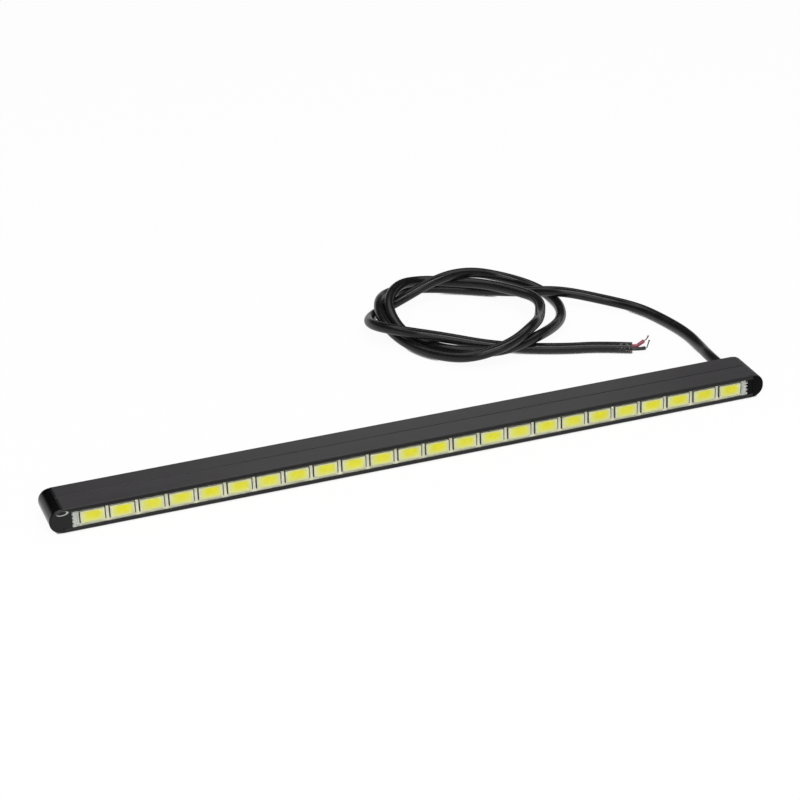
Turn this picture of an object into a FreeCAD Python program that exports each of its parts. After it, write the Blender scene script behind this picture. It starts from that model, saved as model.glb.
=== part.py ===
import FreeCAD
import Part
import Sketcher
import math
import os
import re
from FreeCAD import Placement, Rotation, Vector

# LED light bar for a car: a slim black aluminium extrusion with a row of LEDs along its narrow
# front, a rounded cap on each end and a thin two-core cable out of its back.
# X runs along the bar, the LEDs face -Y, Z is up. Origin at the middle of the underside. Millimetres.

led_count = 24
led_names = ["led_%02d" % number for number in range(1, led_count + 1)]
leds_per_resistor = 3
resistor_count = led_count // leds_per_resistor
bite_count = 4

sizes = (
    # aluminium extrusion
    ("bar_length", 174.4),
    ("bar_depth", 12.0),
    ("bar_height", 6.0),
    ("edge_break", 0.15),
    ("lip_height", 1.05),
    ("back_wall", 1.2),
    ("groove_offset", 0.2),
    ("groove_width", 0.5),
    ("groove_depth", 0.3),
    # circuit board in its slot
    ("board_setback", 0.9),
    ("board_inset", 1.9),
    ("row_shift", 0.5),
    ("board_thickness", 1.0),
    ("slot_depth", 0.3),
    ("slot_clearance", 0.05),
    ("bite_diameter", 0.6),
    ("bite_pitch", 0.9),
    # light emitting diodes
    ("row_margin", 1.95),
    ("led_length", 5.7),
    ("led_height", 3.0),
    ("led_thickness", 0.75),
    ("window_length", 4.6),
    ("window_height", 2.4),
    ("window_depth", 0.35),
    ("window_radius", 0.5),
    ("phosphor_recess", 0.05),
    ("contact_length", 0.25),
    ("contact_height", 2.8),
    ("contact_thickness", 0.55),
    # dropping resistors behind the board
    ("resistor_length", 3.2),
    ("resistor_width", 1.6),
    ("resistor_height", 0.6),
    # clear resin in the front channel
    ("resin_recess", 0.05),
    # end caps
    ("cap_length", 2.9),
    ("cap_round", 2.9),
    ("cap_edge", 0.35),
    ("plug_recess", 0.1),
    ("cable_room", 3.3),
    # cable, its bush and its cores
    ("cable_diameter", 2.7),
    ("cable_inset", 2.0),
    ("cable_tail", 0.4),
    ("bush_diameter", 3.2),
    ("flange_diameter", 3.7),
    ("flange_thickness", 0.5),
    ("core_diameter", 1.0),
    ("core_spacing", 1.2),
    ("strand_diameter", 0.35),
    ("solder_length", 1.4),
    ("solder_height", 0.8),
    ("solder_width", 1.0),
)

# Where the cable lies behind the bar, from its exit to its cut end: back to the loops, two and a
# half turns with the tail tucked round the left side, then out to the right. X and Y are measured
# from the exit in the back wall, Z from the surface below.
lie = (
    (1.8, 16.5, 1.5), (2.3, 26.0, 1.4), (0.8, 36.0, 1.4), (-2.7, 46.0, 1.4), (-10.7, 53.0, 2.5),
    (-20.2, 58.0, 5.0), (-27.2, 65.0, 3.0), (-34.7, 71.5, 1.4), (-43.7, 78.0, 1.5),
    (-53.7, 82.5, 1.5), (-61.7, 80.0, 4.5), (-67.7, 71.0, 5.5), (-69.2, 60.5, 2.0),
    (-66.7, 50.0, 1.4), (-62.2, 40.0, 1.5), (-55.7, 31.5, 3.0), (-45.7, 29.5, 6.0),
    (-37.2, 34.5, 8.0), (-31.2, 44.0, 5.0), (-27.2, 54.5, 5.5), (-31.2, 64.0, 5.5),
    (-35.2, 74.5, 4.5), (-41.2, 81.0, 1.5), (-49.2, 83.0, 4.5), (-59.2, 78.5, 5.5),
    (-65.2, 69.0, 3.5), (-65.7, 58.0, 2.0), (-62.7, 47.5, 1.4), (-56.2, 38.5, 2.0),
    (-46.7, 32.5, 3.0), (-36.7, 33.0, 5.0), (-28.7, 40.0, 3.5), (-22.7, 49.5, 1.5),
    (-20.2, 60.0, 1.4), (-22.2, 71.0, 2.0), (-29.2, 78.5, 3.0), (-39.7, 80.5, 6.0),
    (-50.2, 78.5, 4.0), (-61.2, 76.0, 1.4), (-70.2, 70.0, 1.5), (-72.7, 60.5, 3.5),
    (-67.7, 50.5, 5.0), (-58.2, 44.0, 4.5), (-48.2, 39.5, 2.0), (-38.7, 34.5, 1.4),
    (-29.7, 30.0, 1.4), (-21.7, 27.5, 1.4), (-14.2, 24.0, 1.4),
)
exit_run = 7.5

# Stripped ends of the two cores past the cut jacket, measured from the middle of the cut.
red_stub = ((0.25, 0.54, 0.1), (1.16, 0.12, 0.1), (2.2, 0.25, 0.45), (3.5, 0.5, 0.95))
red_tip = ((3.5, 0.5, 0.95), (4.33, 0.66, 1.27), (5.0, 0.8, 2.15))
black_stub = ((-0.25, -0.54, -0.1), (0.66, -0.96, -0.1), (1.9, -1.2, -0.2), (3.1, -1.3, -0.2))
black_tip = ((3.1, -1.3, -0.2), (3.6, -1.34, -0.2), (3.9, -1.15, 0.6), (4.5, -0.8, 1.6))

# Soldered ends of the cores inside the bar, measured from the cable's inner end.
inner_lead = ((0.0, 0.0), (0.0, -2.5), (-3.0, -7.4), (-5.5, -7.4))

doc = FreeCAD.newDocument("led_light_bar")
sheet = doc.addObject("Spreadsheet::Sheet", "Sizes")
for row, (alias, value) in enumerate(sizes, 1):
    sheet.set("A%d" % row, alias)
    sheet.set("B%d" % row, str(value))
    sheet.setAlias("B%d" % row, alias)
doc.recompute()
size = {alias: float(sheet.get(alias)) for alias, value in sizes}


def named(formula):
    return re.sub(r"[a-z]+(_[a-z]+)+", lambda word: "Sizes." + word.group(), formula)


def tie(target, prop, formula):
    target.setExpression(prop, named(formula))


def new_body(label):
    body = doc.addObject("PartDesign::Body", label)
    body.Label = label
    return body


def origin_feature(body, role):
    return [feature for feature in body.Origin.OriginFeatures if feature.Role == role][0]


def new_sketch(body, name, plane, lift):
    sketch = body.newObject("Sketcher::SketchObject", body.Label + "_" + name)
    sketch.AttachmentSupport = (origin_feature(body, plane), [""])
    sketch.MapMode = "FlatFace"
    tie(sketch, "AttachmentOffset.Base.z", lift)
    return sketch


def outline(sketch, corners):
    first = sketch.GeometryCount
    count = len(corners)
    ring = [Vector(math.cos(2 * math.pi * k / count), math.sin(2 * math.pi * k / count), 0) for k in range(count)]
    for k in range(count):
        sketch.addGeometry(Part.LineSegment(ring[k], ring[(k + 1) % count]), False)
    for k in range(count):
        sketch.addConstraint(Sketcher.Constraint("Coincident", first + k, 2, first + (k + 1) % count, 1))
    for k, (across, along) in enumerate(corners):
        index = sketch.addConstraint(Sketcher.Constraint("DistanceX", first + k, 1, ring[k].x))
        tie(sketch, "Constraints[%d]" % index, across)
        index = sketch.addConstraint(Sketcher.Constraint("DistanceY", first + k, 1, ring[k].y))
        tie(sketch, "Constraints[%d]" % index, along)


def rectangle(sketch, left, right, low, high):
    outline(sketch, ((left, low), (right, low), (right, high), (left, high)))


def circle(sketch, across, along, diameter):
    index = sketch.addGeometry(Part.Circle(Vector(0, 0, 0), Vector(0, 0, 1), 1.0), False)
    tie(sketch, "Constraints[%d]" % sketch.addConstraint(Sketcher.Constraint("DistanceX", index, 3, 0.0)), across)
    tie(sketch, "Constraints[%d]" % sketch.addConstraint(Sketcher.Constraint("DistanceY", index, 3, 0.0)), along)
    tie(sketch, "Constraints[%d]" % sketch.addConstraint(Sketcher.Constraint("Diameter", index, 2.0)), diameter)


def pad(body, name, sketch, length, symmetric=False, backwards=False):
    feature = body.newObject("PartDesign::Pad", body.Label + "_" + name)
    feature.Profile = sketch
    tie(feature, "Length", length)
    feature.SideType = "Symmetric" if symmetric else "One side"
    feature.Reversed = backwards
    body.Tip = feature
    return feature


def pocket(body, name, sketch, length, backwards=False):
    feature = body.newObject("PartDesign::Pocket", body.Label + "_" + name)
    feature.Profile = sketch
    tie(feature, "Length", length)
    feature.Reversed = backwards
    body.Tip = feature
    return feature


def fillet(body, name, base, wanted, radius):
    doc.recompute()
    edges = []
    for number, edge in enumerate(base.Shape.Edges, 1):
        if wanted(edge.CenterOfMass, edge.tangentAt(edge.FirstParameter)):
            edges.append("Edge%d" % number)
    feature = body.newObject("PartDesign::Fillet", body.Label + "_" + name)
    feature.Base = (base, edges)
    tie(feature, "Radius", radius)
    body.Tip = feature
    return feature


def row_of(body, base, spacing, count):
    body.AllowCompound = True
    feature = body.newObject("PartDesign::LinearPattern", body.Label + "_row")
    feature.Originals = [base]
    feature.TransformMode = "Whole shape"
    feature.Direction = (origin_feature(body, "X_Axis"), [""])
    feature.Mode = "Spacing"
    tie(feature, "Offset", spacing)
    feature.Occurrences = count
    body.Tip = feature
    return feature


def box(label, near, span):
    solid = doc.addObject("Part::Box", label)
    for prop, formula in zip(("Length", "Width", "Height"), span):
        tie(solid, prop, formula)
    for axis, formula in zip("xyz", near):
        tie(solid, "Placement.Base." + axis, formula)
    return solid


def rod_along_y(label, diameter, near, length):
    solid = doc.addObject("Part::Cylinder", label)
    tie(solid, "Radius", "(%s) / 2" % diameter)
    tie(solid, "Height", length)
    solid.Placement = Placement(Vector(), Rotation(Vector(1, 0, 0), -90))
    for axis, formula in zip("xyz", near):
        tie(solid, "Placement.Base." + axis, formula)
    return solid


def boolean(kind, label, base, tool):
    feature = doc.addObject("Part::" + kind, label)
    feature.Base = base
    feature.Tool = tool
    return feature


def tube(label, points, diameter):
    points = [Vector(*point) for point in points]
    edges = []
    radii = []
    here = points[0]
    for before, corner, after in zip(points, points[1:], points[2:]):
        back = before.sub(corner)
        on = after.sub(corner)
        turn = math.pi - back.getAngle(on)
        reach = 0.45 * min(back.Length, on.Length)
        radius = reach / math.tan(turn / 2)
        back.normalize()
        on.normalize()
        start = corner + back * reach
        end = corner + on * reach
        bisector = (back + on).normalize()
        middle = corner + bisector * (radius / math.cos(turn / 2) - radius)
        edges.append(Part.LineSegment(here, start).toShape())
        edges.append(Part.Arc(start, middle, end).toShape())
        radii.append(radius)
        here = end
    edges.append(Part.LineSegment(here, points[-1]).toShape())
    path = Part.Wire(edges)
    aim = points[1].sub(points[0])
    section = Part.Wire([Part.Circle(points[0], aim, diameter / 2).toShape()])
    solid = doc.addObject("Part::Feature", label)
    solid.Shape = path.makePipeShell([section], True, False)
    solid.Placement = Placement(Vector(), Rotation())
    expected = math.pi * diameter ** 2 / 4 * path.Length
    print("%s: length %.1f, volume %.2f of %.2f, radii %s" % (
        label, path.Length, solid.Shape.Volume, expected, " ".join("%.1f" % radius for radius in radii)))
    return solid


# Faces and middles that several pieces share.
front = "bar_depth / 2"
board_front = "bar_depth / 2 - board_setback"
board_back = "bar_depth / 2 - board_setback - board_thickness"
led_front = "bar_depth / 2 - board_setback + led_thickness"
middle_height = "bar_height / 2"
opening_top = "bar_height - lip_height"
slot_low = "lip_height - slot_depth"
slot_top = "bar_height - lip_height + slot_depth"
board_length = "(bar_length - 2 * board_inset)"
board_ends = {side: "(row_shift + %d * %s / 2)" % (side, board_length) for side in (-1, 1)}
led_pitch = "((bar_length - 2 * board_inset - 2 * row_margin - led_length) / %d)" % (led_count - 1)
first_led = "row_shift - %g * %s" % ((led_count - 1) / 2, led_pitch)
cable_exit = "bar_length / 2 - cable_inset"

# Extrusion: one C-shaped section with the board's slot, the wire chamber and the fine top groove.
housing = new_body("housing_extrusion")
section = new_sketch(housing, "section", "YZ_Plane", "0")
outline(section, (
    ("-bar_depth / 2 + edge_break", "0"),
    ("bar_depth / 2 - edge_break", "0"),
    ("bar_depth / 2", "edge_break"),
    ("bar_depth / 2", "bar_height - edge_break"),
    ("bar_depth / 2 - edge_break", "bar_height"),
    ("groove_offset + groove_width / 2", "bar_height"),
    ("groove_offset", "bar_height - groove_depth"),
    ("groove_offset - groove_width / 2", "bar_height"),
    ("-bar_depth / 2 + edge_break", "bar_height"),
    ("-bar_depth / 2", "bar_height - edge_break"),
    ("-bar_depth / 2", opening_top),
    ("-(%s)" % board_front, opening_top),
    ("-(%s)" % board_front, slot_top),
    ("-(%s)" % board_back, slot_top),
    ("-(%s)" % board_back, opening_top),
    ("bar_depth / 2 - back_wall", opening_top),
    ("bar_depth / 2 - back_wall", "lip_height"),
    ("-(%s)" % board_back, "lip_height"),
    ("-(%s)" % board_back, slot_low),
    ("-(%s)" % board_front, slot_low),
    ("-(%s)" % board_front, "lip_height"),
    ("-bar_depth / 2", "lip_height"),
    ("-bar_depth / 2", "edge_break"),
))
pad(housing, "length", section, "bar_length", symmetric=True)

# Cable hole in the back wall, counterbored for the bush's flange.
hole = new_sketch(housing, "hole", "XZ_Plane", "-bar_depth / 2")
circle(hole, cable_exit, middle_height, "bush_diameter")
pocket(housing, "hole_cut", hole, "back_wall", backwards=True)
counterbore = new_sketch(housing, "counterbore", "XZ_Plane", "-bar_depth / 2")
circle(counterbore, cable_exit, middle_height, "flange_diameter")
pocket(housing, "counterbore_cut", counterbore, "flange_thickness", backwards=True)


# End cap: a rounded nose over the whole end, with a plug that fills the front of the channel.
def end_cap(label, side):
    cap = new_body(label)
    inner = "%d * bar_length / 2" % side
    outer = "%d * (bar_length / 2 + cap_length)" % side
    nose = new_sketch(cap, "nose", "XZ_Plane", "0")
    rectangle(nose, inner, outer, "0", "bar_height")
    block = pad(cap, "block", nose, "bar_depth", symmetric=True)
    tip = size["bar_length"] / 2 + size["cap_length"]
    rounded = fillet(
        cap, "bullnose", block,
        lambda centre, way: abs(way.y) > 0.9 and abs(centre.x - side * tip) < 0.01,
        "min(cap_round; cap_length - cap_edge / 8; bar_height / 2 - cap_edge / 8)")
    fillet(
        cap, "softened", rounded,
        lambda centre, way: abs(abs(centre.y) - size["bar_depth"] / 2) < 0.01
        and abs(centre.x) > size["bar_length"] / 2 + 0.01,
        "cap_edge")
    plug = new_sketch(cap, "plug", "XY_Plane", "lip_height")
    rectangle(plug, board_ends[side], inner,
              "-bar_depth / 2 + plug_recess", "bar_depth / 2 - back_wall - cable_room")
    pad(cap, "plug_block", plug, "bar_height - 2 * lip_height")
    return cap


cap_left = end_cap("end_cap_left", -1)
cap_right = end_cap("end_cap_right", 1)

# Circuit board: a white strip snapped from a panel, with half-round bites along both ends.
board = new_body("circuit_board")
strip = new_sketch(board, "strip", "XZ_Plane", board_front)
rectangle(strip, board_ends[-1], board_ends[1], slot_low, "%s - slot_clearance" % slot_top)
pad(board, "sheet", strip, "board_thickness", backwards=True)
bites = new_sketch(board, "bites", "XZ_Plane", board_front)
for side in (-1, 1):
    for place in range(bite_count):
        step = place - (bite_count - 1) / 2
        circle(bites, board_ends[side], "bar_height / 2 + %g * bite_pitch" % step, "bite_diameter")
pocket(board, "bitten", bites, "board_thickness")


# Diodes: a white moulded frame with a rounded window in its front.
def led_package(label, step):
    led = new_body(label)
    centre = "row_shift + %g * %s" % (step, led_pitch)
    base = new_sketch(led, "base", "XZ_Plane", board_front)
    rectangle(base, "%s - led_length / 2" % centre, "%s + led_length / 2" % centre,
              "bar_height / 2 - led_height / 2", "bar_height / 2 + led_height / 2")
    pad(led, "frame", base, "led_thickness")
    mouth = new_sketch(led, "mouth", "XZ_Plane", led_front)
    rectangle(mouth, "%s - window_length / 2" % centre, "%s + window_length / 2" % centre,
              "bar_height / 2 - window_height / 2", "bar_height / 2 + window_height / 2")
    cut = pocket(led, "window", mouth, "window_depth")
    doc.recompute()
    middle = cut.Shape.BoundBox.Center.x
    inside = size["led_length"] / 2 - 0.01
    fillet(led, "corners", cut, lambda place, way: abs(way.y) > 0.9 and abs(place.x - middle) < inside,
           "window_radius")
    return led


leds = [led_package(name, number - (led_count - 1) / 2) for number, name in enumerate(led_names)]

# Phosphor: the yellow gel cast in each window, a little below its rim.
phosphor = new_body("led_phosphor")
fill = new_sketch(phosphor, "fill", "XZ_Plane", "%s - window_depth" % led_front)
rectangle(fill, "%s - window_length / 2" % first_led, "%s + window_length / 2" % first_led,
          "bar_height / 2 - window_height / 2", "bar_height / 2 + window_height / 2")
gel = pad(phosphor, "gel", fill, "window_depth - phosphor_recess")
gel = fillet(phosphor, "corners", gel, lambda place, way: abs(way.y) > 0.9, "window_radius")
row_of(phosphor, gel, led_pitch, led_count)

# Contacts: a tinned tab at each end of every diode, lying on the board.
contacts = new_body("led_contacts")
contacts.AllowCompound = True
tabs = new_sketch(contacts, "tabs", "XZ_Plane", board_front)
low = "bar_height / 2 - contact_height / 2"
high = "bar_height / 2 + contact_height / 2"
rectangle(tabs, "%s - led_length / 2 - contact_length" % first_led, "%s - led_length / 2" % first_led, low, high)
rectangle(tabs, "%s + led_length / 2" % first_led, "%s + led_length / 2 + contact_length" % first_led, low, high)
row_of(contacts, pad(contacts, "pair", tabs, "contact_thickness"), led_pitch, led_count)

# Dropping resistors on the back of the board, one for each three diodes.
resistors = new_body("dropping_resistors")
chip = new_sketch(resistors, "chip", "XZ_Plane", board_back)
first_resistor = "row_shift - %g * %s" % (leds_per_resistor * (resistor_count - 1) / 2, led_pitch)
rectangle(chip, "%s - resistor_length / 2" % first_resistor, "%s + resistor_length / 2" % first_resistor,
          "bar_height / 2 - resistor_width / 2", "bar_height / 2 + resistor_width / 2")
row_of(resistors, pad(resistors, "block", chip, "resistor_height", backwards=True),
       "%d * %s" % (leds_per_resistor, led_pitch), resistor_count)

# Clear resin cast over the board and round the diodes, just short of the lips.
resin_block = box("resin_block", (board_ends[-1], "-bar_depth / 2 + resin_recess", "lip_height"),
                  (board_length, "board_setback - resin_recess", "bar_height - 2 * lip_height"))
resin_mould = doc.addObject("Part::Compound", "resin_mould")
resin_mould.Links = leds + [phosphor, contacts]
resin = boolean("Cut", "clear_resin", resin_block, resin_mould)

# Bush: a flanged rubber ring that seals the cable into the back wall.
neck = rod_along_y("bush_neck", "bush_diameter", (cable_exit, "bar_depth / 2 - back_wall", middle_height),
                   "back_wall - flange_thickness")
flange = rod_along_y("bush_flange", "flange_diameter",
                     (cable_exit, "bar_depth / 2 - flange_thickness", middle_height), "flange_thickness")
bore = rod_along_y("bush_bore", "cable_diameter", (cable_exit, "bar_depth / 2 - back_wall", middle_height),
                   "back_wall")
bush = boolean("Cut", "cable_bush", boolean("Fuse", "bush_blank", neck, flange), bore)

# Cable: the round jacket along its whole lie, from inside the back wall to the cut end.
exit_across = size["bar_length"] / 2 - size["cable_inset"]
exit_back = size["bar_depth"] / 2
exit_height = size["bar_height"] / 2
inner_end = exit_back - size["back_wall"] - size["cable_tail"]
route = [(exit_across, inner_end, exit_height), (exit_across, exit_back + exit_run, exit_height)]
route += [(exit_across + across, exit_back + back, height) for across, back, height in lie]
cable = tube("power_cable", route, size["cable_diameter"])


def stub(label, offsets, diameter):
    cut = route[-1]
    return tube(label, [tuple(cut[k] + offset[k] for k in range(3)) for offset in offsets], diameter)


red_wire = stub("red_wire", red_stub, size["core_diameter"])
black_wire = stub("black_wire", black_stub, size["core_diameter"])
red_strands = stub("red_strands", red_tip, size["strand_diameter"])
black_strands = stub("black_strands", black_tip, size["strand_diameter"])


# Inner leads: each core runs from the cable's inner end to a pad on the back of the board.
def lead(label, height):
    rise = height * size["core_spacing"] / 2
    on_board = -(size["bar_depth"] / 2 - size["board_setback"] - size["board_thickness"])
    shift = on_board + size["core_diameter"] / 2 - (inner_end + inner_lead[-1][1])
    points = []
    for number, (across, back) in enumerate(inner_lead):
        along = inner_end + back + (shift if number > 1 else 0.0)
        points.append((exit_across + across, along, exit_height + rise))
    return tube(label, points, size["core_diameter"])


red_lead = lead("red_lead_inside", 1)
black_lead = lead("black_lead_inside", -1)

# Solder where the two leads end on the board.
solder = doc.addObject("Part::Compound", "solder_joints")
solder.Links = [
    box("solder_" + name, ("%s - %g - solder_length" % (cable_exit, -inner_lead[-1][0]), "-(%s)" % board_back,
                           "bar_height / 2 + %d * core_spacing / 2 - solder_width / 2" % rise),
        ("solder_length", "solder_height", "solder_width"))
    for name, rise in (("red", 1), ("black", -1))]

doc.recompute()

pieces = [housing, cap_left, cap_right, board] + leds + [
    phosphor, contacts, resistors, resin, bush, cable, red_wire, black_wire, red_strands, black_strands,
    red_lead, black_lead, solder]

for item in doc.Objects:
    if "Invalid" in item.State or "Error" in item.State:
        raise SystemExit("failed: " + item.Name)
for piece in pieces:
    if piece.Shape.isNull() or not piece.Shape.isValid() or piece.Shape.Volume <= 0:
        raise SystemExit("bad shape: " + piece.Label)

os.makedirs("parts", exist_ok=True)
for piece in pieces:
    piece.Shape.exportStep("parts/%s.step" % piece.Label)
    extent = piece.Shape.BoundBox
    print("%s: %d solids, %.3f mm3, x %.2f to %.2f, y %.2f to %.2f, z %.2f to %.2f" % (
        piece.Label, len(piece.Shape.Solids), piece.Shape.Volume, extent.XMin, extent.XMax,
        extent.YMin, extent.YMax, extent.ZMin, extent.ZMax))
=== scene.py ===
import math
import random

import bmesh
import bpy
from mathutils import Matrix, Vector, noise


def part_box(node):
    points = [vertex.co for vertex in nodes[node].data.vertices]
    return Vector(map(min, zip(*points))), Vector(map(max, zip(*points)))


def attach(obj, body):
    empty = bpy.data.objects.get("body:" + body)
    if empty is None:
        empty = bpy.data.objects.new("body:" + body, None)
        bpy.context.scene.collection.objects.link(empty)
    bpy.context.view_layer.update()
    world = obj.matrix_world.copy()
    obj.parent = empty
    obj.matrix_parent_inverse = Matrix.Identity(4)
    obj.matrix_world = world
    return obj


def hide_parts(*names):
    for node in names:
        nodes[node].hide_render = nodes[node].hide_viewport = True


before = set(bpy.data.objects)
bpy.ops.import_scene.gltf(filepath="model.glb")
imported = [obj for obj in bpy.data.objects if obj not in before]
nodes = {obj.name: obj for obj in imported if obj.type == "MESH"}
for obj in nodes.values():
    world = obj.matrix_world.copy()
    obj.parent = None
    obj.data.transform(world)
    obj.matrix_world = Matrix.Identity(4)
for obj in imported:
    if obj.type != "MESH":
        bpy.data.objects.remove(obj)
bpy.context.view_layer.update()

barLow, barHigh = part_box("housing_extrusion")
bushLow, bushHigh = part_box("cable_bush")
boardLow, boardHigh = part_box("circuit_board")
ledNames = sorted(name for name in nodes if name.removeprefix("led_").isdigit())
ledLow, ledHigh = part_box(ledNames[0])
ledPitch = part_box(ledNames[1])[0].x - ledLow.x
gelLow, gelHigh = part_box("led_phosphor")
midHeight = (barLow.z + barHigh.z) / 2
mm = 1000  # millimetres in a metre
print("frame loaded,", len(nodes), "nodes, pitch", round(ledPitch * mm, 2), "mm")


# small helpers for objects and node materials

noiseDetail = 3.0
coarseDetail = 1.0
noiseReach = (0.3, 0.7)  # most of a noise lies between these
noiseMiddle = 0.5


def addObject(name, data):
    added = bpy.data.objects.new(name, data)
    bpy.context.scene.collection.objects.link(added)
    return added


def tone(red, green, blue):  # picked colour, 0 to 255, as the shader's linear colour
    def linear(level):
        level /= 255
        return level / 12.92 if level <= 0.04045 else ((level + 0.055) / 1.055) ** 2.4
    return (linear(red), linear(green), linear(blue), 1.0)


def newFinish(name, look):  # every look below gives its texture sizes in mm
    mat = bpy.data.materials.new(name)
    mat.use_nodes = True
    tree = mat.node_tree
    shader = tree.nodes["Principled BSDF"]
    shader.inputs["Roughness"].default_value = sum(look["roughness"]) / 2
    shader.inputs["IOR"].default_value = look["ior"]
    place = tree.nodes.new("ShaderNodeTexCoord")
    ruler = tree.nodes.new("ShaderNodeMapping")
    ruler.inputs["Scale"].default_value = (mm, mm, mm)
    tree.links.new(place.outputs["Object"], ruler.inputs["Vector"])
    return mat, tree, shader, ruler.outputs["Vector"]


def axes(tree, vector):  # its X, Y and Z
    parts = tree.nodes.new("ShaderNodeSeparateXYZ")
    tree.links.new(vector, parts.inputs["Vector"])
    return parts.outputs


def facing(tree, axis):  # how squarely a surface looks along that axis of the part
    own = tree.nodes.new("ShaderNodeTexCoord")
    return axes(tree, own.outputs["Normal"])[axis]


def grain(tree, where, size, stretch=(1, 1, 1), detail=noiseDetail):  # noise with lumps of that size
    scale = tree.nodes.new("ShaderNodeMapping")
    scale.inputs["Scale"].default_value = [1 / (size * s) for s in stretch]
    speck = tree.nodes.new("ShaderNodeTexNoise")
    speck.inputs["Scale"].default_value = 1.0
    speck.inputs["Detail"].default_value = detail
    tree.links.new(where, scale.inputs["Vector"])
    tree.links.new(scale.outputs["Vector"], speck.inputs["Vector"])
    return speck.outputs["Fac"]


def spread(tree, value, low, high, start=noiseReach[0], end=noiseReach[1]):
    ramp = tree.nodes.new("ShaderNodeMapRange")
    ramp.interpolation_type = "SMOOTHSTEP"
    for socket, level in (("From Min", start), ("From Max", end), ("To Min", low), ("To Max", high)):
        ramp.inputs[socket].default_value = level
    tree.links.new(value, ramp.inputs["Value"])
    return ramp.outputs["Result"]


def calc(tree, kind, first, second=None, third=None):
    step = tree.nodes.new("ShaderNodeMath")
    step.operation = kind
    for socket, value in zip(step.inputs, (first, second, third)):
        if isinstance(value, (int, float)):
            socket.default_value = value
        elif value is not None:
            tree.links.new(value, socket)
    return step.outputs["Value"]


def distance(tree, first, second):
    squares = [calc(tree, "MULTIPLY", side, side) for side in (first, second)]
    return calc(tree, "SQRT", calc(tree, "ADD", *squares))


def turnsFrom(tree, value, start, pitch):  # how many pitches from the start
    return calc(tree, "DIVIDE", calc(tree, "SUBTRACT", value, start), pitch)


def offMiddle(tree, turns, pitch):  # how far from the middle of its own pitch
    return calc(tree, "MULTIPLY", calc(tree, "SUBTRACT", calc(tree, "FRACT", turns), 0.5), pitch)


def band(tree, value, rise, fall, top=1.0):  # up over the rise and back to nothing over the fall
    rising = spread(tree, value, 0.0, top, *rise)
    return calc(tree, "MULTIPLY", rising, spread(tree, value, 1.0, 0.0, *fall))


def spots(tree, where, size, reach, share=1.0, detail=coarseDetail):  # where a noise is high
    return spread(tree, grain(tree, where, size, detail=detail), 0.0, share, *reach)


def blendTones(tree, share, first, second):  # picked colours, or blends of them
    mix = tree.nodes.new("ShaderNodeMix")
    mix.data_type = "RGBA"
    sockets = {socket.identifier: socket for socket in [*mix.inputs, *mix.outputs]}
    tree.links.new(share, sockets["Factor_Float"])
    for name, value in (("A_Color", first), ("B_Color", second)):
        if isinstance(value, tuple):
            sockets[name].default_value = tone(*value)
        else:
            tree.links.new(value, sockets[name])
    return sockets["Result_Color"]


def mottle(tree, where, look):  # the look's two tones in soft patches
    patches = grain(tree, where, look["patch"], detail=look.get("patchDetail", noiseDetail))
    share = spread(tree, patches, 0.0, 1.0, *look.get("patchReach", noiseReach))
    return blendTones(tree, share, *look["tones"])


def relief(tree, shader, height, depth, strength=1.0):
    bump = tree.nodes.new("ShaderNodeBump")
    bump.inputs["Strength"].default_value = strength
    bump.inputs["Distance"].default_value = depth / mm
    tree.links.new(height, bump.inputs["Height"])
    tree.links.new(bump.outputs["Normal"], shader.inputs["Normal"])


def polish(tree, shader, where, look):  # an uneven gloss, and a fine skin if the look has one
    gloss = spread(tree, grain(tree, where, look["polish"]), *look["roughness"])
    tree.links.new(gloss, shader.inputs["Roughness"])
    if "skin" in look:
        relief(tree, shader, grain(tree, where, look["skin"]), look["skinDepth"])


def mottledFinish(name, look):
    mat, tree, shader, where = newFinish(name, look)
    tree.links.new(mottle(tree, where, look), shader.inputs["Base Color"])
    shader.inputs["Metallic"].default_value = look.get("metallic", 0.0)
    polish(tree, shader, where, look)
    return mat


def mixShaders(tree, share, first, second, output):
    mix = tree.nodes.new("ShaderNodeMixShader")
    for socket, value in zip(mix.inputs, (share, first, second)):
        tree.links.new(value, socket)
    tree.links.new(mix.outputs["Shader"], tree.nodes[output].inputs["Surface"])


def wear(finish, *names):  # dress CAD nodes without touching their meshes
    for name in names:
        for place in nodes[name].material_slots:
            place.link = "OBJECT"
            place.material = finish


# camera, at the photograph's angle

photoView = {
    "azimuth": -18.92, "elevation": 25.98, "roll": -2.19,  # degrees
    "distance": 0.60534, "aside": -0.00330, "above": 0.01242, "clip": (0.01, 20),  # metres
    "focalPixels": 2527.1, "imagePixels": 800, "sensorWidth": 36,
}


def placeCamera():
    turn, lift, roll = (math.radians(photoView[k]) for k in ("azimuth", "elevation", "roll"))
    back = Vector((math.sin(turn) * math.cos(lift), -math.cos(turn) * math.cos(lift), math.sin(lift)))
    level = Vector((math.cos(turn), math.sin(turn), 0))
    upright = back.cross(level)
    right = level * math.cos(roll) + upright * math.sin(roll)
    up = upright * math.cos(roll) - level * math.sin(roll)
    data = bpy.data.cameras.new("photoCamera")
    data.sensor_width = photoView["sensorWidth"]
    data.lens = photoView["sensorWidth"] * photoView["focalPixels"] / photoView["imagePixels"]
    data.clip_start, data.clip_end = photoView["clip"]
    camera = addObject("photoCamera", data)
    camera.matrix_world = Matrix((right, up, back)).transposed().to_4x4()
    camera.location = back * photoView["distance"] + right * photoView["aside"] + up * photoView["above"]
    bpy.context.scene.camera = camera


placeCamera()
print("camera placed")


# cable, from inside the back wall to its cut end

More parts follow.
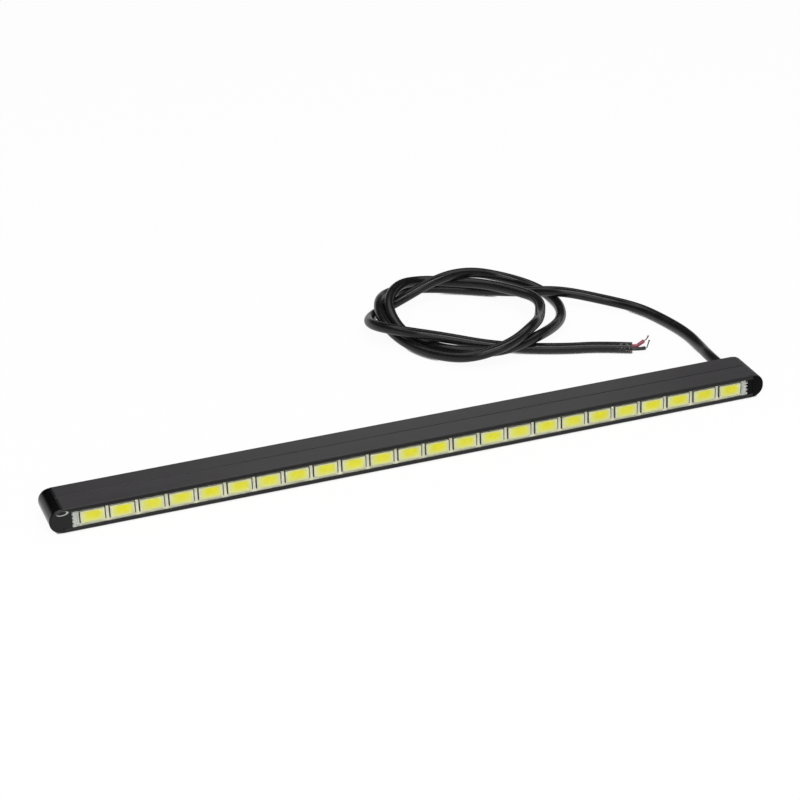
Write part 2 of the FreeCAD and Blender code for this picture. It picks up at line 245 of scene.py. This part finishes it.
cable = {
    "diameter": 0.0027, "length": 0.508, "tailInside": 0.0016, "exitRun": 0.0075,  # metres
    "fullness": 1.03, "rounds": 8,  # drawn a little full, as the strands measure
    "tones": ((20, 20, 21), (27, 27, 28)), "patch": 3.0, "ior": 1.32,
    "roughness": (0.15, 0.24), "polish": 1.2,
    "shine": (0.5, 0.05), "grazing": (0.45, 0.9),  # the moulded skin is dull at a grazing angle
    "chafed": (128, 122, 118), "chafeFade": (1.75, 5.0), "chafeMatt": 0.35,  # mm from the cut
    "scratch": 0.35, "scratchReach": (0.55, 0.66), "scratchDetail": 4.0,
    "skin": 0.25, "skinDepth": 0.012, "skinStrength": 0.6,
}
cableExit = Vector(((bushLow.x + bushHigh.x) / 2, barHigh.y, midHeight))
cableLie = (  # metres from the exit, heights from the surface below
    (0.0018, 0.0165, 0.0015), (0.0025, 0.0258, 0.0014), (0.0008, 0.0360, 0.0014),
    (-0.0022, 0.0464, 0.0014), (-0.0099, 0.0534, 0.0025), (-0.0199, 0.0577, 0.0050),
    (-0.0267, 0.0650, 0.0030), (-0.0335, 0.0726, 0.0014), (-0.0428, 0.0787, 0.0015),
    (-0.0537, 0.0821, 0.0022), (-0.0617, 0.0801, 0.0029), (-0.0672, 0.0709, 0.0046),
    (-0.0692, 0.0604, 0.0032), (-0.0669, 0.0499, 0.0015), (-0.0623, 0.0400, 0.0015),
    (-0.0556, 0.0315, 0.0030), (-0.0454, 0.0294, 0.0060), (-0.0369, 0.0343, 0.0080),
    (-0.0313, 0.0442, 0.0050), (-0.0272, 0.0541, 0.0055), (-0.0315, 0.0625, 0.0054),
    (-0.0369, 0.0709, 0.0049), (-0.0436, 0.0767, 0.0043), (-0.0505, 0.0803, 0.0046),
    (-0.0595, 0.0770, 0.0064), (-0.0655, 0.0685, 0.0050), (-0.0658, 0.0580, 0.0020),
    (-0.0626, 0.0476, 0.0014), (-0.0561, 0.0382, 0.0020), (-0.0468, 0.0321, 0.0030),
    (-0.0368, 0.0329, 0.0050), (-0.0288, 0.0401, 0.0035), (-0.0227, 0.0496, 0.0015),
    (-0.0200, 0.0596, 0.0014), (-0.0224, 0.0696, 0.0020), (-0.0291, 0.0758, 0.0036),
    (-0.0386, 0.0767, 0.0066), (-0.0486, 0.0745, 0.0072), (-0.0606, 0.0748, 0.0020),
    (-0.0701, 0.0699, 0.0015), (-0.0733, 0.0594, 0.0042), (-0.0685, 0.0495, 0.0056),
    (-0.0587, 0.0435, 0.0045), (-0.0483, 0.0394, 0.0020), (-0.0387, 0.0345, 0.0014),
    (-0.0297, 0.0304, 0.0014), (-0.0217, 0.0281, 0.0014), (-0.0142, 0.0240, 0.0014),
)
cableRoute = [cableExit - Vector((0, cable["tailInside"], 0)), cableExit + Vector((0, cable["exitRun"], 0))]
for across, behind, height in cableLie:
    cableRoute.append(Vector((cableExit.x + across, cableExit.y + behind, height)))
cutEnd = cableRoute[-1]


def jacketFinish():
    mat, tree, shader, where = newFinish("jacketPvc", cable)
    away = tree.nodes.new("ShaderNodeVectorMath")  # how far from the cut end
    away.operation = "DISTANCE"
    away.inputs[1].default_value = cutEnd * mm
    tree.links.new(where, away.inputs[0])
    near = spread(tree, away.outputs["Value"], 1.0, 0.0, *cable["chafeFade"])
    scratches = spots(tree, where, cable["scratch"], cable["scratchReach"], detail=cable["scratchDetail"])
    chafe = calc(tree, "MULTIPLY", near, scratches)
    colour = blendTones(tree, chafe, mottle(tree, where, cable), cable["chafed"])
    tree.links.new(colour, shader.inputs["Base Color"])
    rim = tree.nodes.new("ShaderNodeLayerWeight")
    shine = spread(tree, rim.outputs["Facing"], *cable["shine"], *cable["grazing"])
    tree.links.new(shine, shader.inputs["Specular IOR Level"])
    gloss = spread(tree, grain(tree, where, cable["polish"]), *cable["roughness"])
    matt = calc(tree, "MULTIPLY_ADD", chafe, cable["chafeMatt"], gloss)
    tree.links.new(matt, shader.inputs["Roughness"])
    skin = calc(tree, "ADD", grain(tree, where, cable["skin"]), chafe)
    relief(tree, shader, skin, cable["skinDepth"], cable["skinStrength"])
    return mat


wireSteps = 10  # drawn between two points of a wire


def wireCurve(name, strands, radius, finish, rounds):  # each strand is a list of (place, thickness)
    data = bpy.data.curves.new(name, "CURVE")
    data.dimensions = "3D"
    data.resolution_u = wireSteps
    data.bevel_depth = radius
    data.bevel_resolution = rounds
    data.use_fill_caps = True
    for points in strands:
        spline = data.splines.new("NURBS")
        spline.points.add(len(points) - 1)
        for knot, (place, thick) in zip(spline.points, points):
            knot.co = (*place, 1.0)
            knot.radius = thick
        spline.order_u = 3
        spline.use_endpoint_u = True
        spline.use_smooth = True
    data.materials.append(finish)
    return addObject(name, data)


cablePath = [(place, cable["fullness"]) for place in cableRoute]
powerLead = wireCurve("powerLead", [cablePath], cable["diameter"] / 2, jacketFinish(), cable["rounds"])
print("cable laid,", len(cableRoute), "points")


# cut end: two cores and their bare strands

cores = {  # the stubs are in mm from the cut, the diameter in metres
    "diameter": 0.0010, "rounds": 6, "thickness": (1.0, 0.96, 0.92, 1.02),  # pinched by the stripping
    "redStub": ((0.25, 0.54, 0.1), (1.16, 0.12, 0.1), (2.2, 0.25, 0.45), (3.5, 0.5, 0.95)),
    "blackStub": ((-0.25, -0.54, -0.1), (0.66, -0.96, -0.1), (1.9, -1.2, -0.2), (3.1, -1.3, -0.2)),
}
insulation = {
    "patch": 0.5, "patchDetail": 4.0, "patchReach": (0.4, 0.75), "ior": 1.45,
    "roughness": (0.35, 0.6), "polish": 0.3, "skin": 0.2, "skinDepth": 0.02,
}
redLook = {**insulation, "tones": ((142, 57, 77), (170, 103, 120))}
blackLook = {**insulation, "tones": ((30, 30, 31), (52, 52, 54))}
strand = {  # the tips are in mm from the cut, its thickness and the bundle's in metres
    "diameter": 0.0001, "rounds": 3, "count": 7, "points": 9, "bundle": 0.00011, "turns": 1.3,
    "fan": 1.4, "fanUneven": (0.5, 1), "fanPower": 3,  # the wires part towards their tips
    "redTip": ((3.3, 0.45, 0.87), (4.33, 0.66, 1.27), (5.0, 0.8, 2.15)),
    "blackTip": ((2.9, -1.3, -0.2), (3.6, -1.34, -0.2), (3.9, -1.15, 0.6), (4.5, -0.8, 1.6)),
    "redSeed": 3, "blackSeed": 7,
    "tones": ((120, 92, 80), (140, 132, 126)), "patch": 0.15, "ior": 1.5,
    "roughness": (0.25, 0.5), "polish": 0.08, "metallic": 0.7,
}


def fromCut(offsets):
    return [cutEnd + Vector(offset) / mm for offset in offsets]


def insulatedCore(name, stub, finish):
    points = list(zip(fromCut(stub), cores["thickness"]))
    return wireCurve(name, [points], cores["diameter"] / 2, finish, cores["rounds"])


def alongPath(path, share):  # the place there, and the way the path runs
    reach = share * (len(path) - 1)
    first = min(int(reach), len(path) - 2)
    start, end = path[first:first + 2]
    return start.lerp(end, reach - first), (end - start).normalized()


def bareStrands(name, path, finish, seed):  # fine wires twisted round the path, fanning at the tip
    chance = random.Random(seed)
    wires = []
    for wire in range(strand["count"]):
        start = 2 * math.pi * wire / (strand["count"] - 1)
        points = []
        for step in range(strand["points"]):
            share = step / (strand["points"] - 1)
            middle, aim = alongPath(path, share)
            side = aim.cross(Vector((0, 0, 1))).normalized()
            over = side.cross(aim)
            fan = strand["fan"] * share ** strand["fanPower"] * chance.uniform(*strand["fanUneven"])
            width = strand["bundle"] * (1 + fan) if wire else 0.0  # the first wire is the middle one
            angle = start + 2 * math.pi * strand["turns"] * share
            outward = side * math.cos(angle) + over * math.sin(angle)
            points.append((middle + outward * width, 1.0))
        wires.append(points)
    return wireCurve(name, wires, strand["diameter"] / 2, finish, strand["rounds"])


redSkin = mottledFinish("redInsulation", redLook)
blackSkin = mottledFinish("blackInsulation", blackLook)
strandCopper = mottledFinish("strandCopper", strand)
redCore = insulatedCore("redCore", cores["redStub"], redSkin)
blackCore = insulatedCore("blackCore", cores["blackStub"], blackSkin)
redWires = bareStrands("redWires", fromCut(strand["redTip"]), strandCopper, strand["redSeed"])
blackWires = bareStrands("blackWires", fromCut(strand["blackTip"]), strandCopper, strand["blackSeed"])
print("cores stripped")

for piece, node, slot in (
        (powerLead, "power_cable", "cable_jacket"), (redCore, "red_wire", "red_insulation"),
        (blackCore, "black_wire", "black_insulation"), (redWires, "red_strands", "strand_copper"),
        (blackWires, "black_strands", "strand_copper")):
    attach(piece, "root")
    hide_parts(node)


# painted highlight: a pale crescent where the left cap meets the upper lip, standing in for the glint on a
# drop of glue

glueGlint = {
    "middle": (-87.0, 5.05), "reach": (1.5, 0.65), "front": (-5.4, -5.1),  # mm
    "ringRise": (0.6, 0.85), "ringFall": (0.85, 1.1),  # shares of the reach
    "lean": 0.7, "lowerSide": (-0.5, 0.6), "faintest": 0.1,  # strongest below and to the right
    "tone": (184, 184, 182),
}


# painted highlight mask for the glint on the glue drop
def glueGlintMask(tree, where):
    at = axes(tree, where)
    across, rise = (
        calc(tree, "DIVIDE", calc(tree, "SUBTRACT", at[axis], middle), reach)
        for axis, middle, reach in zip("XZ", glueGlint["middle"], glueGlint["reach"]))
    ring = band(tree, distance(tree, across, rise), glueGlint["ringRise"], glueGlint["ringFall"])
    slant = calc(tree, "SUBTRACT", calc(tree, "MULTIPLY", across, glueGlint["lean"]), rise)
    lower = spread(tree, slant, glueGlint["faintest"], 1.0, *glueGlint["lowerSide"])
    onFront = spread(tree, at["Y"], 1.0, 0.0, *glueGlint["front"])
    return calc(tree, "MULTIPLY", calc(tree, "MULTIPLY", ring, lower), onFront)


# aluminium extrusion

extrusion = {
    "top": (50, 48, 50), "topLight": (65, 64, 65), "topReach": (0.1, 0.9),  # faces looking up: satin, painted lighter as a painted sheen
    "lightPoolMiddle": 6.0, "fade": (20, 92), "paler": 0.3,  # painted pool of light: palest this many mm along the bar, darker towards both ends
    "side": (22, 22, 23), "sideLight": (30, 30, 31), "sideReach": (0.35, 0.65),  # all its other faces, painted darker as painted shade
    "flat": (0.80, 0.97), "underside": (-0.6, -0.2), "foreside": (-0.9, -0.6),  # how faces are told apart
    "underShade": (6, 6, 6), "lipRise": (5.2, 5.4), "lipFall": (5.75, 5.95),  # painted shade below; mm up, a painted shadow line under the top
    "lipShare": 0.8,
    "seal": (8, 8, 9), "sealWidth": 0.55, "sealBlur": 0.08,  # mm of black sealer on the left end
    "dieLine": 0.12, "dieStretch": (400, 1, 1), "dieDetail": 2.0,  # drawn out along the bar
    "cloud": 9.0, "cloudStretch": (3, 1, 1), "ior": 1.33, "roughness": (0.40, 0.52),
    "grit": 0.05, "gritShare": 0.6, "gritDepth": 0.006, "gritStrength": 0.5,
}


def anodisedFinish():
    mat, tree, shader, where = newFinish("anodisedBlack", extrusion)
    at = axes(tree, where)
    lines = grain(tree, where, extrusion["dieLine"], extrusion["dieStretch"], extrusion["dieDetail"])
    cloud = grain(tree, where, extrusion["cloud"], extrusion["cloudStretch"])
    share = calc(tree, "DIVIDE", calc(tree, "ADD", lines, cloud), 2)
    patch = spread(tree, share, 0.0, 1.0, *extrusion["sideReach"])
    # painted pool of light: the top is made paler round the middle of the bar and darker towards both ends
    along = calc(tree, "ABSOLUTE", calc(tree, "SUBTRACT", at["X"], extrusion["lightPoolMiddle"]))
    paler = spread(tree, along, extrusion["paler"], -extrusion["paler"], *extrusion["fade"])
    lightPoolAndMottle = spread(tree, calc(tree, "ADD", share, paler), 0.0, 1.0, *extrusion["topReach"])
    # painted sheen and shade: faces looking up take the lighter top tones, all other faces the darker side
    # tones
    sheenTop = blendTones(tree, lightPoolAndMottle, extrusion["top"], extrusion["topLight"])
    shadedSides = blendTones(tree, patch, extrusion["side"], extrusion["sideLight"])
    upward = spread(tree, facing(tree, "Z"), 0.0, 1.0, *extrusion["flat"])
    # painted shade: faces looking down, and a line under the top edge of the front, are painted nearly
    # black
    downward = spread(tree, facing(tree, "Z"), 1.0, 0.0, *extrusion["underside"])
    forward = spread(tree, facing(tree, "Y"), 1.0, 0.0, *extrusion["foreside"])
    lipShadowLine = band(tree, at["Z"], extrusion["lipRise"], extrusion["lipFall"], extrusion["lipShare"])
    shadeMask = calc(tree, "MAXIMUM", downward, calc(tree, "MULTIPLY", lipShadowLine, forward))
    body = blendTones(tree, shadeMask, blendTones(tree, upward, shadedSides, sheenTop), extrusion["underShade"])
    sealEdge = barLow.x * mm + extrusion["sealWidth"]
    blur = extrusion["sealBlur"]
    sealed = spread(tree, at["X"], 1.0, 0.0, sealEdge - blur, sealEdge + blur)
    body = blendTones(tree, sealed, body, extrusion["seal"])
    # painted highlight of the glue drop
    glintPainted = blendTones(tree, glueGlintMask(tree, where), body, glueGlint["tone"])
    tree.links.new(glintPainted, shader.inputs["Base Color"])
    tree.links.new(spread(tree, lines, *extrusion["roughness"]), shader.inputs["Roughness"])
    grit = calc(tree, "MULTIPLY_ADD", grain(tree, where, extrusion["grit"]), extrusion["gritShare"], lines)
    relief(tree, shader, grit, extrusion["gritDepth"], extrusion["gritStrength"])
    return mat


wear(anodisedFinish(), "housing_extrusion")
print("extrusion anodised")


# gloss end caps

endCap = {
    "tones": ((5, 5, 6), (10, 10, 11)), "patch": 2.5,
    "dust": (60, 60, 62), "speck": 0.12, "speckReach": (0.72, 0.8), "speckShare": 0.5,
    "roughness": (0.06, 0.14), "polish": 0.8, "polishStretch": (1, 3, 1),
    "upward": (0.3, 0.7), "rubbedSheen": (58, 58, 60), "rubbedMatt": 0.45,  # the right cap's top is rubbed matt, and painted lighter as a painted sheen
    "leftIor": 1.36, "rightIor": 1.15, "shine": 0.5,
    "plugEnd": (0.6, 0.9),  # as moulded, without shine
    "outerSide": (-0.6, -0.1), "outerShine": 0.22,  # dulled by handling
    "wave": 1.4, "waveDepth": 0.02, "waveStrength": 0.5,
}


def capFinish(name, ior, rubbedSheen, inwards):  # inwards is the way its plug looks along the bar
    mat, tree, shader, where = newFinish(name, {**endCap, "ior": ior})
    specks = spots(tree, where, endCap["speck"], endCap["speckReach"], endCap["speckShare"])
    dusty = blendTones(tree, specks, mottle(tree, where, endCap), endCap["dust"])
    # painted highlight of the glue drop
    glintPainted = blendTones(tree, glueGlintMask(tree, where), dusty, glueGlint["tone"])
    # the right cap's top: rubbed matt, and its faces looking up painted lighter as a painted sheen
    top = calc(tree, "MULTIPLY", spread(tree, facing(tree, "Z"), 0.0, 1.0, *endCap["upward"]), rubbedSheen)
    tree.links.new(blendTones(tree, top, glintPainted, endCap["rubbedSheen"]), shader.inputs["Base Color"])
    inward = calc(tree, "MULTIPLY", facing(tree, "X"), inwards)
    plugEnd = spread(tree, inward, endCap["shine"], 0.0, *endCap["plugEnd"])
    outer = spread(tree, inward, endCap["outerShine"], endCap["shine"], *endCap["outerSide"])
    tree.links.new(calc(tree, "MINIMUM", plugEnd, outer), shader.inputs["Specular IOR Level"])
    streaks = grain(tree, where, endCap["polish"], endCap["polishStretch"])
    gloss = spread(tree, streaks, *endCap["roughness"])
    matt = calc(tree, "MULTIPLY", top, endCap["rubbedMatt"])
    tree.links.new(calc(tree, "MAXIMUM", gloss, matt), shader.inputs["Roughness"])
    wave = grain(tree, where, endCap["wave"], detail=coarseDetail)
    relief(tree, shader, wave, endCap["waveDepth"], endCap["waveStrength"])
    return mat


wear(capFinish("glossCap", endCap["leftIor"], rubbedSheen=0, inwards=1), "end_cap_left")
wear(capFinish("rubbedSheenCap", endCap["rightIor"], rubbedSheen=1, inwards=-1), "end_cap_right")
print("caps polished")


# board, diodes, gel, contacts and resistors

board = {
    "tones": ((222, 221, 196), (213, 213, 184)), "patch": 1.5, "patchDetail": 4.0, "ior": 1.5,
    "roughness": (0.38, 0.6), "polish": 0.4,
    "end": (184, 186, 182), "endFade": (1.4, 2.0),  # mm from both ends
    "speck": (146, 148, 144), "speckSize": 0.3, "speckReach": (0.52, 0.62),
    "notchShade": (16, 16, 18), "notchInset": 0.22, "notchRadius": 0.27,  # painted shade in the notches; mm, at the left end
    "notchPitch": 0.9, "notchBlur": 0.05,
    "weave": 1.6, "weaveDistortion": 1.5, "weaveDepth": 0.01,  # glass cloth under the mask
}
ledFrame = {
    "tones": ((206, 206, 182), (194, 195, 168)), "patch": 0.6, "ior": 1.5,
    "roughness": (0.3, 0.5), "polish": 0.3, "skin": 0.12, "skinDepth": 0.008,
    "glow": (204, 205, 128), "glowShare": 0.8, "glowReach": (-0.5, 0.05),  # mm in from the window's edge
    "cornerRound": 2.0,
}
phosphor = {
    "tones": ((213, 210, 22), (210, 204, 10)), "patch": 0.9, "ior": 1.2,
    "roughness": (0.3, 0.5), "polish": 0.2, "skin": 0.15, "skinDepth": 0.02,
    "rim": (207, 209, 118), "rimWidth": 0.9, "narrow": 0.4,  # mm; it thins towards the window's ends,
    "aside": 0.2, "lift": 0.3,  # and more so at the left and along the bottom
    "lump": 0.5, "lumpShare": 0.5,  # a ragged rim
    "paler": 0.16,  # each diode has a shade of its own, up to this share of the rim's
}
# painted shade: the tinned contacts and solder are made nearly black, for the dark lines of shade beside
# each diode
shadedContact = {
    "tones": ((34, 32, 27), (18, 17, 14)), "patch": 0.3, "ior": 1.5, "metallic": 1.0,
    "roughness": (0.3, 0.55), "polish": 0.15, "skin": 0.1, "skinDepth": 0.02,
}
chip = {
    "tones": ((28, 28, 30), (44, 44, 46)), "patch": 0.4, "ior": 1.5,
    "roughness": (0.4, 0.6), "polish": 0.2,
}


def boardFinish():
    mat, tree, shader, where = newFinish("boardWhite", board)
    at = axes(tree, where)
    middle = (boardLow.x + boardHigh.x) / 2 * mm
    half = (boardHigh.x - boardLow.x) / 2 * mm
    fromMiddle = calc(tree, "ABSOLUTE", calc(tree, "SUBTRACT", at["X"], middle))
    ends = spread(tree, calc(tree, "SUBTRACT", half, fromMiddle), 1.0, 0.0, *board["endFade"])
    specks = spots(tree, where, board["speckSize"], board["speckReach"])
    endTone = blendTones(tree, specks, board["end"], board["speck"])
    colour = blendTones(tree, ends, mottle(tree, where, board), endTone)
    fromNotch = calc(tree, "SUBTRACT", at["X"], boardLow.x * mm + board["notchInset"])
    steps = turnsFrom(tree, at["Z"], midHeight * mm, board["notchPitch"])
    offStep = offMiddle(tree, steps, board["notchPitch"])
    bite = calc(tree, "SUBTRACT", distance(tree, fromNotch, offStep), board["notchRadius"])
    snapped = calc(tree, "MINIMUM", bite, fromNotch)  # the bites, and the edge left of their middles
    # painted shade: the bites at the left end are painted dark, as their shadowed cut-outs
    notchShadeMask = spread(tree, snapped, 1.0, 0.0, -board["notchBlur"], board["notchBlur"])
    tree.links.new(blendTones(tree, notchShadeMask, colour, board["notchShade"]), shader.inputs["Base Color"])
    polish(tree, shader, where, board)
    weave = tree.nodes.new("ShaderNodeTexWave")
    weave.inputs["Scale"].default_value = board["weave"]
    weave.inputs["Distortion"].default_value = board["weaveDistortion"]
    tree.links.new(where, weave.inputs["Vector"])
    relief(tree, shader, weave.outputs["Fac"], board["weaveDepth"])
    return mat


def rowTurns(tree, where, aside=0.0):  # pitches along the row, from half a pitch before the first diode
    rowStart = (ledLow.x + ledHigh.x - ledPitch) / 2 * mm + aside
    return turnsFrom(tree, axes(tree, where)["X"], rowStart, ledPitch * mm)


# mm inwards from the nearest window edge, for every diode of the row
def windowInset(tree, where, aside=0.0, lift=0.0, narrow=0.0):
    halfLength = (gelHigh.x - gelLow.x - (len(ledNames) - 1) * ledPitch) / 2 * mm - narrow
    halfHeight = (gelHigh.z - gelLow.z) / 2 * mm
    fromMiddle = calc(tree, "ABSOLUTE", offMiddle(tree, rowTurns(tree, where, aside), ledPitch * mm))
    aboveMiddle = calc(tree, "SUBTRACT", axes(tree, where)["Z"], midHeight * mm + lift)
    sideways = calc(tree, "SUBTRACT", halfLength, fromMiddle)
    upright = calc(tree, "SUBTRACT", halfHeight, calc(tree, "ABSOLUTE", aboveMiddle))
    return calc(tree, "SMOOTH_MIN", sideways, upright, ledFrame["cornerRound"])


def gelFinish():
    mat, tree, shader, where = newFinish("phosphorGel", phosphor)
    inset = windowInset(tree, where, phosphor["aside"], phosphor["lift"], phosphor["narrow"])
    lumps = calc(tree, "SUBTRACT", grain(tree, where, phosphor["lump"]), noiseMiddle)
    ragged = calc(tree, "MULTIPLY_ADD", lumps, phosphor["lumpShare"], inset)
    rim = spread(tree, ragged, 1.0, 0.0, -phosphor["lift"], phosphor["rimWidth"] - phosphor["lift"])
    colour = blendTones(tree, rim, mottle(tree, where, phosphor), phosphor["rim"])
    batch = tree.nodes.new("ShaderNodeTexWhiteNoise")
    batch.noise_dimensions = "1D"
    number = calc(tree, "FLOOR", rowTurns(tree, where, phosphor["aside"]))
    tree.links.new(number, batch.inputs["W"])
    paler = spread(tree, batch.outputs["Value"], 0.0, phosphor["paler"], 0.0, 1.0)
    tree.links.new(blendTones(tree, paler, colour, phosphor["rim"]), shader.inputs["Base Color"])
    polish(tree, shader, where, phosphor)
    return mat


def frameFinish():
    mat, tree, shader, where = newFinish("ledFrame", ledFrame)
    glow = spread(tree, windowInset(tree, where), 0.0, ledFrame["glowShare"], *ledFrame["glowReach"])
    colour = blendTones(tree, glow, mottle(tree, where, ledFrame), ledFrame["glow"])
    tree.links.new(colour, shader.inputs["Base Color"])
    polish(tree, shader, where, ledFrame)
    return mat


wear(boardFinish(), "circuit_board")
wear(frameFinish(), *ledNames)
wear(gelFinish(), "led_phosphor")
wear(mottledFinish("tinnedContactShaded", shadedContact), "led_contacts", "solder_joints")
wear(mottledFinish("chipBlack", chip), "dropping_resistors")
wear(redSkin, "red_lead_inside")
wear(blackSkin, "black_lead_inside")
print("diode row finished")


# clear resin cast in the channel

resin = {
    "stepsAlong": 340, "stepsUp": 8, "gap": 0.00001, "overlap": 0.00002,  # metres
    "hollow": 0.00004, "creep": 4,  # it creeps up the lips
    "ripple": 0.00002, "ripplesAlong": 400, "ripplesUp": 900, "rippleShift": 0.3,
    "smoothFront": -0.5,  # faces that look further forward than this are smooth
    "colour": (251, 252, 249), "ior": 1.42, "roughness": (0.03, 0.08), "polish": 1.5,
    "wave": 1.2, "waveDepth": 0.02, "waveStrength": 0.5,
}


def resinFinish():  # clear, and light falls straight through to the diodes
    mat, tree, shader, where = newFinish("clearResin", resin)
    shader.inputs["Base Color"].default_value = tone(*resin["colour"])
    shader.inputs["Transmission Weight"].default_value = 1.0
    polish(tree, shader, where, resin)
    wave = grain(tree, where, resin["wave"], detail=coarseDetail)
    relief(tree, shader, wave, resin["waveDepth"], resin["waveStrength"])
    clear = tree.nodes.new("ShaderNodeBsdfTransparent")
    shadow = tree.nodes.new("ShaderNodeLightPath").outputs["Is Shadow Ray"]
    mixShaders(tree, shadow, shader.outputs["BSDF"], clear.outputs["BSDF"], "Material Output")
    return mat


def castResin():
    low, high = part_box("clear_resin")
    gap = resin["gap"]
    leftEnd = low.x - resin["overlap"]
    width = high.x + resin["overlap"] - leftEnd
    mesh = bmesh.new()
    rows = []
    for step in range(resin["stepsAlong"] + 1):
        across = leftEnd + width * step / resin["stepsAlong"]
        row = []
        for rise in range(resin["stepsUp"] + 1):
            share = rise / resin["stepsUp"]
            height = low.z + gap + (high.z - low.z - 2 * gap) * share
            dip = resin["hollow"] * (1 - (2 * share - 1) ** resin["creep"])
            spot = (across * resin["ripplesAlong"], height * resin["ripplesUp"], resin["rippleShift"])
            wave = resin["ripple"] * (1 + noise.noise(Vector(spot)))
            row.append(mesh.verts.new((across, low.y + dip + wave, height)))
        rows.append(row)
    for left, right in zip(rows, rows[1:]):
        for k in range(resin["stepsUp"]):
            mesh.faces.new((left[k], right[k], right[k + 1], left[k + 1]))
    (lowLeft, highLeft), (lowRight, highRight) = (
        [mesh.verts.new((row[k].co.x, high.y - gap, row[k].co.z)) for k in (0, -1)]
        for row in (rows[0], rows[-1]))
    mesh.faces.new((lowLeft, highLeft, highRight, lowRight))
    mesh.faces.new([row[0] for row in rows][::-1] + [lowLeft, lowRight])
    mesh.faces.new([row[-1] for row in rows] + [highRight, highLeft])
    mesh.faces.new(rows[0] + [highLeft, lowLeft])
    mesh.faces.new(rows[-1][::-1] + [lowRight, highRight])
    bmesh.ops.recalc_face_normals(mesh, faces=mesh.faces)
    data = bpy.data.meshes.new("castResin")
    mesh.to_mesh(data)
    mesh.free()
    for face in data.polygons:
        face.use_smooth = face.normal.y < resin["smoothFront"]
    data.materials.append(resinFinish())
    return addObject("castResin", data)


castResinPiece = castResin()
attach(castResinPiece, "root")
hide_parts("clear_resin")
print("resin cast")


# rubber bush

bush = {
    "tones": ((20, 20, 20), (32, 31, 31)), "patch": 0.8, "ior": 1.4,
    "roughness": (0.5, 0.75), "polish": 0.3, "skin": 0.1, "skinDepth": 0.02,
}
wear(mottledFinish("bushRubber", bush), "cable_bush")
print("bush fitted")


# floor, light and white background

studio = {
    "ambient": 0.55, "floorGlow": 0.94, "floorWhite": 0.9, "floorDrop": 0.00002, "floorReach": 6.0,
    "contactReach": 0.0004, "contactDepth": 2.0,  # painted contact shadow: the paper darkens close to what lies on it
    "ceiling": 0.03, "ceilingHeights": (0.0, 0.3),  # reflections dim above the horizon,
    "tent": 1.8, "tentRise": (0.70, 0.78), "tentFall": (0.90, 0.96),  # but for a bright band high up
    "overhead": {"place": (-0.02, -0.28, 0.62), "size": (0.60, 0.18), "watts": 2.0},
    "front": {"place": (-0.20, -0.68, 0.36), "size": (0.70, 0.50), "watts": 2.7},
    "aim": (0.0, 0.03, 0.0),
}


def seenDirectly(tree):  # 1 for camera, glossy and transmitted rays that have met no matt surface
    path = tree.nodes.new("ShaderNodeLightPath")
    seen = calc(tree, "MAXIMUM", path.outputs["Is Camera Ray"], path.outputs["Is Glossy Ray"])
    seen = calc(tree, "MAXIMUM", seen, path.outputs["Is Transmission Ray"])
    return calc(tree, "MULTIPLY", seen, calc(tree, "LESS_THAN", path.outputs["Diffuse Depth"], 1))


def whiteWorld():
    world = bpy.data.worlds.new("whiteStudio")
    bpy.context.scene.world = world
    world.use_nodes = True
    tree = world.node_tree
    soft = tree.nodes["Background"]
    soft.inputs["Strength"].default_value = studio["ambient"]
    white = tree.nodes.new("ShaderNodeBackground")
    for light in (soft, white):
        light.inputs["Color"].default_value = (1, 1, 1, 1)
    aim = tree.nodes.new("ShaderNodeTexCoord")
    height = axes(tree, aim.outputs["Generated"])["Z"]
    walls = spread(tree, height, 1.0, studio["ceiling"], *studio["ceilingHeights"])
    tent = band(tree, height, studio["tentRise"], studio["tentFall"], studio["tent"])
    inView = tree.nodes.new("ShaderNodeLightPath").outputs["Is Camera Ray"]
    outOfView = calc(tree, "SUBTRACT", 1.0, inView)
    shone = calc(tree, "ADD", walls, tent)
    tree.links.new(calc(tree, "MULTIPLY_ADD", shone, outOfView, inView), white.inputs["Strength"])
    backgrounds = (soft.outputs["Background"], white.outputs["Background"])
    mixShaders(tree, seenDirectly(tree), *backgrounds, "World Output")


def whiteFloor():
    mat = bpy.data.materials.new("paleFloor")
    mat.use_nodes = True
    tree = mat.node_tree
    tree.nodes.remove(tree.nodes["Principled BSDF"])
    white = studio["floorWhite"]
    paper = tree.nodes.new("ShaderNodeBsdfDiffuse")
    paper.inputs["Color"].default_value = (white, white, white, 1)
    glow = tree.nodes.new("ShaderNodeEmission")
    glow.inputs["Strength"].default_value = 1.0
    close = tree.nodes.new("ShaderNodeAmbientOcclusion")
    close.inputs["Distance"].default_value = studio["contactReach"]
    unshaded = calc(tree, "POWER", close.outputs["AO"], studio["contactDepth"])
    bright = calc(tree, "MULTIPLY", seenDirectly(tree), studio["floorGlow"])
    share = calc(tree, "MULTIPLY", bright, unshaded)
    mixShaders(tree, share, paper.outputs["BSDF"], glow.outputs["Emission"], "Material Output")
    data = bpy.data.meshes.new("studioFloor")
    reach = studio["floorReach"]
    corners = [(-reach, -reach, 0), (reach, -reach, 0), (reach, reach, 0), (-reach, reach, 0)]
    data.from_pydata(corners, [], [(0, 1, 2, 3)])
    data.materials.append(mat)
    floor = addObject("studioFloor", data)
    floor.location.z = -studio["floorDrop"]


def softLamp(name):
    setting = studio[name]
    data = bpy.data.lights.new(name, "AREA")
    data.shape = "RECTANGLE"
    data.size, data.size_y = setting["size"]
    data.energy = setting["watts"]
    lamp = addObject(name, data)
    lamp.location = setting["place"]
    toward = Vector(studio["aim"]) - lamp.location
    lamp.rotation_mode = "QUATERNION"
    lamp.rotation_quaternion = toward.to_track_quat("-Z", "Y")


whiteWorld()
whiteFloor()
for lampName in ("overhead", "front"):
    softLamp(lampName)
bpy.context.scene.view_settings.view_transform = "Standard"
print("studio lit")
